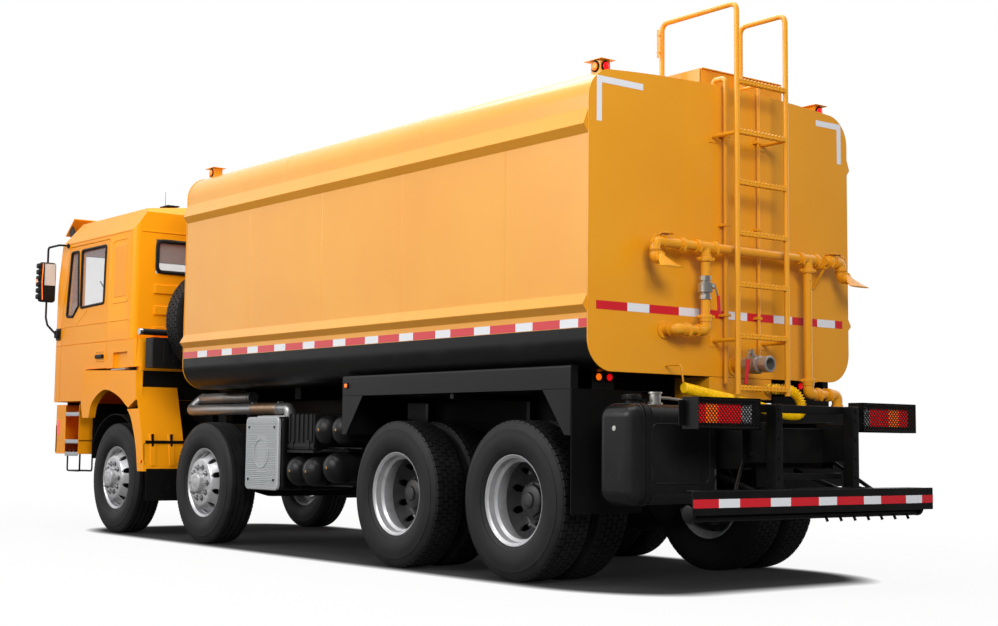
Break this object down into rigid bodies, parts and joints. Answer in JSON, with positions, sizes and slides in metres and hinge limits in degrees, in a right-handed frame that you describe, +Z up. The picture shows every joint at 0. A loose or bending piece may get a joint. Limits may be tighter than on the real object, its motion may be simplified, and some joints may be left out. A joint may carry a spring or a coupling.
{
  "type": "tanker truck",
  "caption": "Rigid four-axle tanker truck: tilting forward cab with opening doors, ribbed steel water tank with roof manhole, rear ladder, spray pipework, side equipment and rear bumper.",
  "frame": {"origin": "on the ground under the middle of the whole vehicle", "axes": "+X to the truck's left, +Y to its rear, +Z up; the truck drives towards -Y"},
  "size_m": [2.91, 9.2698, 3.821],
  "materials": {
    "cab_paint": "gloss orange",
    "tank_paint": "gloss orange-yellow",
    "black_paint": "satin black",
    "silver_paint": "satin silver",
    "bare_steel": "satin",
    "tread_rubber": "matt",
    "flap_rubber": "matt",
    "hose_rubber": "matt yellow",
    "black_plastic": "grained",
    "lamp_plastic": "gloss",
    "window_glass": "clear",
    "seat_fabric": "woven"
  },
  "bodies": {
    "chassis": {"front_axle_beams": "black_paint", "rear_axle_housings": "black_paint", "leaf_springs": "black_paint", "chassis_frame": "black_paint", "powertrain": "black_paint", "tank_shell": "tank_paint", "tank_saddles": "black_paint", "drain_valve": "bare_steel", "manhole_box": "tank_paint", "rear_ladder": "tank_paint", "pipework": "tank_paint", "suction_hose": "hose_rubber", "rear_bumper": "black_paint", "tail_lamps": "lamp_plastic", "fuel_tanks": "black_paint", "exhaust": "bare_steel", "battery_box": "black_paint", "air_tanks": "black_paint", "rear_mudguards": "black_paint", "front_fenders": "cab_paint", "mud_flaps": "flap_rubber", "front_bumper": "cab_paint", "air_intake_box": "black_paint", "spare_wheel": "black_paint", "cab_mounts": "black_paint"},
    "cab": {"cab_shell": "cab_paint", "cab_glass": "window_glass", "front_grille": "black_plastic", "sun_visor": "cab_paint", "mirrors": "black_plastic", "seats": "seat_fabric", "dashboard": "black_plastic"},
    "left_door": {"door_left": "cab_paint", "door_glass_left": "window_glass"},
    "right_door": {"door_right": "cab_paint", "door_glass_right": "window_glass"},
    "steering_wheel_body": {"steering_wheel": "black_plastic"},
    "manhole_cover": {"manhole_lid": "tank_paint"},
    "knuckle_1_left_body": {"knuckle_1_left": "black_paint"},
    "wheel_1_left": {"tyre_1_left": "tread_rubber", "rim_1_left": "silver_paint"},
    "knuckle_1_right_body": {"knuckle_1_right": "black_paint"},
    "wheel_1_right": {"tyre_1_right": "tread_rubber", "rim_1_right": "silver_paint"},
    "knuckle_2_left_body": {"knuckle_2_left": "black_paint"},
    "wheel_2_left": {"tyre_2_left": "tread_rubber", "rim_2_left": "silver_paint"},
    "knuckle_2_right_body": {"knuckle_2_right": "black_paint"},
    "wheel_2_right": {"tyre_2_right": "tread_rubber", "rim_2_right": "silver_paint"},
    "wheels_3_left": {"tyres_3_left": "tread_rubber", "rims_3_left": "silver_paint"},
    "wheels_3_right": {"tyres_3_right": "tread_rubber", "rims_3_right": "silver_paint"},
    "wheels_4_left": {"tyres_4_left": "tread_rubber", "rims_4_left": "silver_paint"},
    "wheels_4_right": {"tyres_4_right": "tread_rubber", "rims_4_right": "silver_paint"}
  },
  "joints": [
    {"name": "cab_tilt", "type": "hinge", "parent": "chassis", "child": "cab", "pos_m": [0, -4.525, 1.12], "axis": [1, 0, 0], "range_deg": [0, 55]},
    {"name": "door_left_hinge", "type": "hinge", "parent": "cab", "child": "left_door", "pos_m": [1.245, -4.335, 2], "axis": [0, 0, -1], "range_deg": [0, 70]},
    {"name": "door_right_hinge", "type": "hinge", "parent": "cab", "child": "right_door", "pos_m": [-1.245, -4.335, 2], "axis": [0, 0, 1], "range_deg": [0, 70]},
    {"name": "steering_wheel_turn", "type": "hinge", "parent": "cab", "child": "steering_wheel_body", "pos_m": [0.55, -3.925, 2.13], "axis": [0, 0.5, 0.866], "range_deg": [-600, 600]},
    {"name": "manhole_lid_hinge", "type": "hinge", "parent": "chassis", "child": "manhole_cover", "pos_m": [-0.385, 2.911, 3.477], "axis": [1, 0, 0], "range_deg": [0, 100]},
    {"name": "steer_1_left", "type": "hinge", "parent": "chassis", "child": "knuckle_1_left_body", "pos_m": [0.86, -3.075, 0.525], "axis": [0, 0, 1], "range_deg": [-33, 33]},
    {"name": "wheel_1_left_spin", "type": "hinge", "parent": "knuckle_1_left_body", "child": "wheel_1_left", "pos_m": [1.05, -3.075, 0.525], "axis": [1, 0, 0], "continuous": true},
    {"name": "steer_1_right", "type": "hinge", "parent": "chassis", "child": "knuckle_1_right_body", "pos_m": [-0.86, -3.075, 0.525], "axis": [0, 0, 1], "range_deg": [-33, 33]},
    {"name": "wheel_1_right_spin", "type": "hinge", "parent": "knuckle_1_right_body", "child": "wheel_1_right", "pos_m": [-1.05, -3.075, 0.525], "axis": [1, 0, 0], "continuous": true},
    {"name": "steer_2_left", "type": "hinge", "parent": "chassis", "child": "knuckle_2_left_body", "pos_m": [0.86, -1.275, 0.525], "axis": [0, 0, 1], "range_deg": [-24, 24]},
    {"name": "wheel_2_left_spin", "type": "hinge", "parent": "knuckle_2_left_body", "child": "wheel_2_left", "pos_m": [1.05, -1.275, 0.525], "axis": [1, 0, 0], "continuous": true},
    {"name": "steer_2_right", "type": "hinge", "parent": "chassis", "child": "knuckle_2_right_body", "pos_m": [-0.86, -1.275, 0.525], "axis": [0, 0, 1], "range_deg": [-24, 24]},
    {"name": "wheel_2_right_spin", "type": "hinge", "parent": "knuckle_2_right_body", "child": "wheel_2_right", "pos_m": [-1.05, -1.275, 0.525], "axis": [1, 0, 0], "continuous": true},
    {"name": "wheels_3_left_spin", "type": "hinge", "parent": "chassis", "child": "wheels_3_left", "pos_m": [0.9, 1.7, 0.525], "axis": [1, 0, 0], "continuous": true},
    {"name": "wheels_3_right_spin", "type": "hinge", "parent": "chassis", "child": "wheels_3_right", "pos_m": [-0.9, 1.7, 0.525], "axis": [1, 0, 0], "continuous": true},
    {"name": "wheels_4_left_spin", "type": "hinge", "parent": "chassis", "child": "wheels_4_left", "pos_m": [0.9, 3.05, 0.525], "axis": [1, 0, 0], "continuous": true},
    {"name": "wheels_4_right_spin", "type": "hinge", "parent": "chassis", "child": "wheels_4_right", "pos_m": [-0.9, 3.05, 0.525], "axis": [1, 0, 0], "continuous": true}
  ],
  "couplings": [
    {"joint": "steer_1_right", "follows": "steer_1_left", "ratio": 1},
    {"joint": "steer_2_left", "follows": "steer_1_left", "ratio": 0.72},
    {"joint": "steer_2_right", "follows": "steer_1_left", "ratio": 0.72},
    {"joint": "steering_wheel_turn", "follows": "steer_1_left", "ratio": 18}
  ]
}
